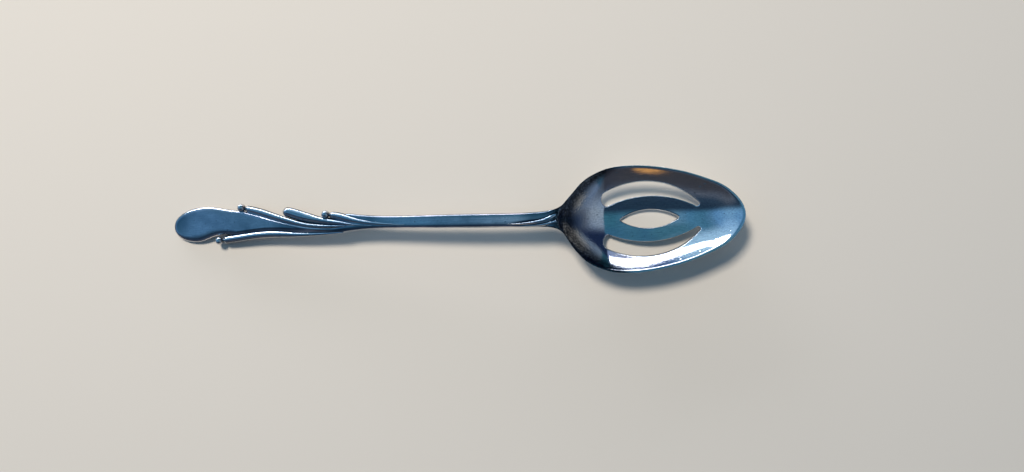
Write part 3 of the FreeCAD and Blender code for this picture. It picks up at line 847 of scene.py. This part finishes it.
LOWER_REED = (
    (0.860, -0.868, 1.00, 0.06), (0.822, -0.760, 1.00, 0.06), (0.780, -0.640, 0.96, 0.06),
    (0.737, -0.589, 0.93, 0.08), (0.700, -0.606, 0.80, 0.14), (0.659, -0.636, 0.58, 0.26),
    (0.620, -0.625, 0.43, 0.42), (0.580, -0.592, 0.26, 0.60), (0.545, -0.545, 0.10, 0.78),
)
reed_1 = make_reed("reed_upper_1", REED_1, relief=0.32)
reed_2 = make_reed("reed_upper_2", REED_2, nose=1.6, overrun=0)
reed_3 = make_reed("reed_upper_3", REED_3)
reed_low = make_reed("reed_lower", LOWER_REED)

# %% [markdown]
# Two finer lines sweep across the neck and end where the bowl's throat begins. They are reeds
# too, only thinner, and their blunt ends point the other way. They lie in shallow hollows, so
# their tops stay level with the neck and their sides still catch the light.

# %% The two lines of the neck
NECK_LOOK = dict(stations=90, relief=0.16, sink=0.75, towards=-1, overrun=0)
neck_1 = make_reed("neck_line_1", NECK_1, nose=0.7, **NECK_LOOK)
neck_2 = make_reed("neck_line_2", NECK_2, nose=0.5, **NECK_LOOK)

# %% [markdown]
# ## The ball tips
#
# Three reeds end in a ball on a short waist. A ball like this is turned or struck in one with
# its stalk, so it is made as a lathe makes it: one profile, swept round the line of the reed.
# The profile is a circle that flows into the waist, instead of a sphere stuck on a rod.

# %% Turn a ball on its waist
BALL = 1.5
WAIST = 0.72
REACH = 2.6
BALL_RING = 40


def make_ball(name, rows):
    rows = sorted(rows)
    plan = column_curve(rows, 1)
    share = rows[-1][0]
    across = float(plan(share)) * HALF_LEAF
    lead = (float(plan(share)) - float(plan(share - 0.001))) * HALF_LEAF
    tip_x, tip_y = from_handle(share, across)
    next_x, next_y = from_handle(share + 0.001, across + lead)
    course = np.array([next_x - tip_x, next_y - tip_y, 0.0])
    course /= np.linalg.norm(course)
    side = np.array([-course[1], course[0], 0.0])
    up = np.array([0.0, 0.0, 1.0])
    face = float(handle_top(share, across))
    floor = float(UNDER(share))
    height = (floor + 0.06 * (face - floor) + face + RELIEF) / 2
    start = np.array([tip_x, tip_y, height])
    along = np.concatenate([np.linspace(-0.5, REACH - BALL, 12)[:-1],
                            REACH - BALL * np.cos(np.linspace(0, math.pi, 30))])
    ball = np.sqrt(np.maximum(BALL ** 2 - (along - REACH) ** 2, 0))
    waist = np.where(along < REACH, WAIST, 0)
    radius = np.maximum(ball, waist) + 0.1 * np.exp(-((ball - waist) / 0.2) ** 2) * (along < REACH)
    turn = np.linspace(0, 2 * math.pi, BALL_RING, endpoint=False)
    ring = np.cos(turn)[:, None] * side + np.sin(turn)[:, None] * up
    points = np.vstack([start + a * course + max(r, 0.01) * ring for a, r in zip(along, radius)])
    count = len(along)
    faces = tube_faces(count, BALL_RING)
    faces.append(list(range(BALL_RING))[::-1])
    faces.append(list(range((count - 1) * BALL_RING, count * BALL_RING)))
    # Painted shade round the waist, where the ball meets its stalk.
    waist_shade = np.repeat(np.exp(-((along - (REACH - BALL)) / 0.5) ** 2), BALL_RING)
    item = make_piece(name, points, faces, waist_shade)
    print(name, [round(size / MM, 2) for size in item.dimensions], "mm")
    return item


ball_1 = make_ball("ball_upper_1", REED_1)
ball_3 = make_ball("ball_upper_3", REED_3)
ball_low = make_ball("ball_lower", LOWER_REED)

# %% [markdown]
# ## Colours
#
# Colours are written the way a picture editor shows them, as sRGB hex. Blender's shaders work in
# linear light, so one function turns each value once.

# %% Colour and node helpers
def colour(hex_code):
    channels = [int(hex_code[i:i + 2], 16) / 255 for i in (1, 3, 5)]
    linear = [c / 12.92 if c <= 0.04045 else ((c + 0.055) / 1.055) ** 2.4 for c in channels]
    return (*linear, 1.0)


def fresh_tree(owner):
    """The emptied node tree of a new material or world."""
    owner.use_nodes = True
    owner.node_tree.nodes.clear()
    return owner.node_tree


def add(tree, kind, inputs=None, **settings):
    """Adds a node. An input given as a socket is linked, and any other is set."""
    node = tree.nodes.new(kind)
    for name, value in settings.items():
        setattr(node, name, value)
    for name, value in (inputs or {}).items():
        if isinstance(value, bpy.types.NodeSocket):
            tree.links.new(value, node.inputs[name])
        else:
            node.inputs[name].default_value = value
    return node


def mixed(tree, factor, first, second):
    """One colour that fades into another."""
    return add(tree, "ShaderNodeMix", {"Factor": factor, "A": first, "B": second},
               data_type="RGBA").outputs["Result"]


def product(tree, first, second):
    return add(tree, "ShaderNodeMath", {0: first, 1: second}, operation="MULTIPLY").outputs["Value"]


print("mid grey in linear light:", round(colour("#808080")[0], 3))

# %% [markdown]
# ## Silver plate
#
# The spoon is nickel silver plated with silver, polished and then used for years. A mirror of
# silver is almost white, and nearly all of what the eye sees is the room in it. Use leaves
# hairlines that run along the spoon, from wiping it lengthwise, and small pits. The colour also
# carries a cool blue or violet tint, partly a real tarnish film and partly painted reflection of
# a blue sky. A near-black painted shade lies in the grooves, on the reeds' lower flanks and at
# the balls' waists, with a painted dark reflection on the neck and the heel of the bowl, both
# broken up in specks. Together they make an old, cared-for spoon instead of a new one.
#
# Hairlines are a few hundredths of a millimetre wide on the real thing. That is too fine to show
# here, so they are drawn about 0.3 mm wide and 6 mm long, which is as coarse as they need. Pits
# and specks are drawn at about 0.4 mm for the same reason.

# %% Silver plate
# The near-black colour is painted shade and painted dark reflection; the other two are the metal's own
# wear and pits.
WORN, SHADE_BLACK, PITTED = "#8C98A4", "#22262E", "#6A6E74"
RIPPLE, HAIRLINE, PIT, HEEL_BUMP = 0.000012, 0.000006, -0.000022, 0.00007
HEEL_GRAIN = (0.042, 0.056)  # the grain fades out between these two places along the spoon


def silver_plate(name, clean, tarnish_and_sky_reflection, roughness, mottled=None):
    material = bpy.data.materials.new(name)
    tree = fresh_tree(material)
    blend, times = partial(mixed, tree), partial(product, tree)

    def span(value, low, high, to_low=0.0, to_high=1.0):
        return add(tree, "ShaderNodeMapRange", {
            "Value": value, "From Min": low, "From Max": high,
            "To Min": to_low, "To Max": to_high}).outputs["Result"]

    def bump(height, metres, normal=None):
        inputs = {"Height": height, "Strength": 1.0, "Distance": metres}
        if normal is not None:
            inputs["Normal"] = normal
        return add(tree, "ShaderNodeBump", inputs).outputs["Normal"]

    def noise(vector, scale, detail, roughness=0.5):
        return add(tree, "ShaderNodeTexNoise", {
            "Vector": vector, "Scale": scale, "Detail": detail, "Roughness": roughness}).outputs["Fac"]

    place = add(tree, "ShaderNodeTexCoord").outputs["Object"]
    along = add(tree, "ShaderNodeMapping", {"Vector": place, "Scale": (150, 3000, 3000)}).outputs["Vector"]
    hair = noise(along, 1.0, 3.0, 0.65)
    waves, clouds, grain = noise(place, 130.0, 2.0), noise(place, 60.0, 5.0), noise(place, 1600.0, 3.0)
    pits = add(tree, "ShaderNodeTexVoronoi", {"Vector": place, "Scale": 700.0}).outputs
    chance = add(tree, "ShaderNodeSeparateColor", {"Color": pits["Color"]}).outputs["Red"]
    pit = times(span(pits["Distance"], 0.05, 0.26, 1.0, 0.0), span(chance, 0.74, 0.92))
    shade_mask = add(tree, "ShaderNodeAttribute", attribute_name="painted_shade").outputs["Fac"]

    # Clouds of tarnish, whose cool blue is partly painted reflection of a blue sky.
    silver = blend(span(clouds, 0.40, 0.66), colour(clean), colour(tarnish_and_sky_reflection))
    silver = blend(span(hair, 0.40, 0.70, 0.0, 0.40), silver, colour(WORN))
    silver = blend(span(grain, 0.45, 0.75, 0.0, 0.25), silver, colour(WORN))
    # Painted shade and painted dark reflection from the mesh attribute, broken up in specks by the grain.
    silver = blend(times(shade_mask, span(grain, 0.48, 0.62, 0.96, 0.72)), silver, colour(SHADE_BLACK))
    silver = blend(times(pit, 0.6), silver, colour(PITTED))
    gloss = span(hair, 0.48, 0.78, roughness * 0.8, roughness * 2.2)

    normal = bump(pit, PIT, bump(hair, HAIRLINE, bump(waves, RIPPLE)))
    if mottled is not None:
        east = add(tree, "ShaderNodeSeparateXYZ", {"Vector": place}).outputs["X"]
        normal = bump(times(grain, span(east, *mottled, 1.0, 0.0)), HEEL_BUMP, normal)
    shader = add(tree, "ShaderNodeBsdfPrincipled", {
        "Base Color": silver, "Metallic": 1.0, "Roughness": gloss, "Normal": normal})
    add(tree, "ShaderNodeOutputMaterial", {"Surface": shader.outputs["BSDF"]})
    print(name, "-", len(tree.nodes), "nodes")
    return material


# The bowl is the brightest and sharpest mirror, with a rough grain at its heel. The handle is
# mottled by tarnish, the reeds are paler where hands rub them, and the balls are the softest.
# The cool blue of each second colour is partly that tarnish and partly painted reflection of a
# blue sky.
BOWL_SILVER = silver_plate("polished_silver_plate_bowl", "#EDECE8", "#CFD8E6", 0.06, HEEL_GRAIN)
STEM_SILVER = silver_plate("polished_silver_plate_handle", "#DCD8DE", "#7F8F9B", 0.11)
REED_SILVER = silver_plate("struck_silver_plate_reeds", "#DCDDDE", "#C0CAD6", 0.11)
BALL_SILVER = silver_plate("turned_silver_plate_balls", "#E4E4E3", "#C8D0DA", 0.18)

# %% [markdown]
# ## Dress the frame
#
# Each new piece replaces the CAD node that it stands for, rides on the one rigid body, and
# takes the material that the table lists beside the record's slot name.

# %% Pieces, nodes and slots
DRESSED = (
    ("bowl_silver", BOWL_SILVER, {"bowl": bowl}),
    ("handle_silver", STEM_SILVER, {"stem": stem}),
    ("reed_silver", REED_SILVER, {
        "upper_reed_1": reed_1, "upper_reed_2": reed_2, "upper_reed_3": reed_3,
        "lower_reed": reed_low, "neck_reed_1": neck_1, "neck_reed_2": neck_2}),
    ("ball_silver", BALL_SILVER, {
        "ball_tip_1": ball_1, "ball_tip_3": ball_3, "lower_ball_tip": ball_low}),
)
for slot, material, pieces in DRESSED:
    for node, piece in pieces.items():
        piece.data.materials.append(material)
        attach(piece, "root")
        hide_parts(node)
    print(slot, "on", ", ".join(pieces))

# %% [markdown]
# ## The table
#
# A plain pale table top, matt like painted board. Only its colour and a little unevenness in its
# gloss matter here.

# %% Table
HALF_TABLE = 3.0
UNDER_SPOON = 0.00002  # so that the two never share a plane


def make_table():
    mesh = bpy.data.meshes.new("table_top")
    corners = [(x * HALF_TABLE, y * HALF_TABLE, 0) for x, y in ((-1, -1), (1, -1), (1, 1), (-1, 1))]
    mesh.from_pydata(corners, [], [(0, 1, 2, 3)])
    table = new_object("table_top", mesh)
    material = bpy.data.materials.new("matt_painted_board")
    tree = fresh_tree(material)
    place = add(tree, "ShaderNodeTexCoord").outputs["Object"]
    uneven = add(tree, "ShaderNodeTexNoise", {"Vector": place, "Scale": 60.0, "Detail": 3.0})
    rough = add(tree, "ShaderNodeMapRange", {
        "Value": uneven.outputs["Fac"], "To Min": 0.6, "To Max": 0.75})
    shader = add(tree, "ShaderNodeBsdfPrincipled", {
        "Base Color": colour("#D2CBC1"), "Roughness": rough.outputs["Result"]})
    add(tree, "ShaderNodeOutputMaterial", {"Surface": shader.outputs["BSDF"]})
    mesh.materials.append(material)
    table.location.z = -UNDER_SPOON
    return table


table = make_table()
print("table", table.name)

# %% [markdown]
# ## The room in the mirror
#
# Polished silver shows the room, so the room is designed like a photographer's tent. The sky
# overhead is a dim teal, steel blue towards the leaf, and pale blue low on the far left. The
# near side is charcoal, with one small warm patch like a lamp across the room. Beyond the
# bowl's tip the tent ends at a sharp edge in grey and navy, which the bowl's heel mirrors: that
# edge is the upright line across the left end of the bowl. All of it is the world's own colour
# by direction, so it stays in place however the spoon is turned.

# %% World
OVER_LEAF = (
    (0.03, "#35587E"), (0.09, "#74A6D2"), (0.14, "#6CA0CC"), (0.19, "#6195C3"), (0.24, "#5585AA"),
    (0.30, "#447898"), (0.38, "#4A80A6"), (0.50, "#6E96B2"), (0.57, "#4F8099"), (0.64, "#3B7188"),
    (0.75, "#3B7188"))
FAR_SKY = (
    (0.0, "#3C567E"), (0.08, "#44628E"), (0.17, "#929FCA"), (0.28, "#98A6C4"), (0.50, "#4E7490"),
    (0.62, "#3E6C86"))
NEAR_SIDE = (
    (0.0, "#3C3D44"), (0.22, "#40434D"), (0.37, "#545E6F"), (0.52, "#31445A"), (0.75, "#263B50"))
HEEL_SIDE = (
    (0.72, "#92A4B8"), (0.84, "#8897AA"), (0.92, "#5A6372"), (0.975, "#33445E"), (1.0, "#26354E"))
WARM_PATCH = (0.06, -0.997, 0.05)


def make_world():
    world = bpy.data.worlds.new("soft_studio")
    bpy.context.scene.world = world
    tree = fresh_tree(world)
    toward = add(tree, "ShaderNodeTexCoord").outputs["Generated"]
    axis = add(tree, "ShaderNodeSeparateXYZ", {"Vector": toward}).outputs
    blend, times = partial(mixed, tree), partial(product, tree)

    def rise(value, low, high):
        return add(tree, "ShaderNodeMapRange", {"Value": value, "From Min": low, "From Max": high},
                   interpolation_type="SMOOTHSTEP").outputs["Result"]

    def ramp(value, stops):
        node = add(tree, "ShaderNodeValToRGB", {"Fac": value})
        elements = node.color_ramp.elements
        elements.remove(elements[0])
        elements[0].position, elements[0].color = stops[0][0], colour(stops[0][1])
        for where, code in stops[1:]:
            elements.new(where).color = colour(code)
        return node.outputs["Color"]

    sweep = add(tree, "ShaderNodeMapRange", {
        "Value": axis["X"], "From Min": -1.0, "From Max": 1.0}).outputs["Result"]
    middle = times(rise(axis["Y"], 0.20, 0.55), rise(axis["X"], -0.35, -0.10))
    over_bowl = blend(middle, ramp(sweep, OVER_LEAF), colour("#40728C"))
    far_side = blend(rise(axis["Y"], 0.68, 0.95), over_bowl, ramp(axis["Z"], FAR_SKY))
    low_left = times(rise(axis["Z"], 0.72, 0.34), rise(axis["Y"], 0.12, 0.42))
    low_left = times(low_left, rise(axis["X"], 0.02, -0.12))
    far_side = blend(low_left, far_side, colour("#A2CFF4"))
    tent = blend(rise(axis["Y"], -0.12, -0.50), far_side, ramp(axis["Z"], NEAR_SIDE))
    heel = blend(rise(axis["Y"], 0.15, 0.62), ramp(sweep, HEEL_SIDE), colour("#22304C"))
    heel = blend(rise(axis["Y"], -0.60, -0.95), heel, colour("#35373D"))
    room = blend(rise(axis["X"], 0.435, 0.450), tent, heel)
    lamp_side = add(tree, "ShaderNodeVectorMath", {0: toward, 1: WARM_PATCH},
                    operation="DOT_PRODUCT").outputs["Value"]
    room = blend(rise(lamp_side, 0.9955, 0.999), room, colour("#DCA264"))
    shown = add(tree, "ShaderNodeBackground", {"Color": room, "Strength": 1.0})
    add(tree, "ShaderNodeOutputWorld", {"Surface": shown.outputs["Background"]})
    return world


world = make_world()
print("world", world.name, "with", len(world.node_tree.nodes), "nodes")

# %% [markdown]
# ## The lamps
#
# One soft lamp up on the far left lights the table and throws the soft shadow to the lower
# right. The silver doesn't mirror it, because the photo shows no image of it. Two long, low
# softboxes on the far side are there for the mirror alone: a few degrees over the horizon, they
# make the white band in the bowl and the thin bright lines along the reeds, the leaf's border
# and the shank. The left one is taller, so the lines widen towards the leaf. They stand outside
# the world's colours because they must be brighter than white paper to burn out in a thin line.

# %% Lamps
TABLE_LIGHT = ((-0.35, 0.62, 1.05), (0.03, 0, 0), 0.30, 0.26, 17)  # place, aim, width, height, watts
SOFTBOX_DISTANCE, SOFTBOX_ROLL = 2.0, math.radians(4)
SOFTBOXES = (  # name, x, height over the table, width, height, watts
    ("right_softbox", 0.20, 0.325, 1.5, 0.20, 8),
    ("left_softbox", -1.25, 0.415, 1.4, 0.33, 20),
)


def make_lamp(name, place, aim, width, height, watts, code):
    data = bpy.data.lights.new(name, "AREA")
    data.shape = "RECTANGLE"
    data.size, data.size_y = width, height
    data.energy = watts
    data.color = colour(code)[:3]
    lamp = new_object(name, data)
    lamp.location = place
    lamp.rotation_euler = (Vector(aim) - Vector(place)).to_track_quat("-Z", "Y").to_euler()
    return lamp


key = make_lamp("table_light", *TABLE_LIGHT, "#FFF6EA")
key.visible_glossy = False
for name, x, z, width, height, watts in SOFTBOXES:
    strip = make_lamp(name, (x, SOFTBOX_DISTANCE, z), (x, 0, z), width, height, watts, "#F2F4FF")
    strip.rotation_euler.rotate_axis("Z", SOFTBOX_ROLL)
    print(name, "at", [round(v, 2) for v in strip.location], "m")

# %% [markdown]
# ## The camera
#
# The photograph was taken from straight above, 290 mm over the table, a little to the right of
# the spoon's middle and turned by not quite three degrees.

# %% Camera
SENSOR_MM, LENS_MM = 36.0, 27.09
CAMERA_PLACE = (0.02065, -0.00394, 0.290)
CAMERA_TURN = -0.04958


def make_camera():
    data = bpy.data.cameras.new("photo_view")
    data.sensor_width = SENSOR_MM
    data.lens = LENS_MM
    camera = new_object("photo_view", data)
    camera.location = CAMERA_PLACE
    camera.rotation_euler = (0.0, 0.0, CAMERA_TURN)
    bpy.context.scene.camera = camera
    return camera


camera = make_camera()
bpy.context.scene.view_settings.view_transform = "Standard"
print("camera", [round(v * 1000, 1) for v in camera.location], "mm")
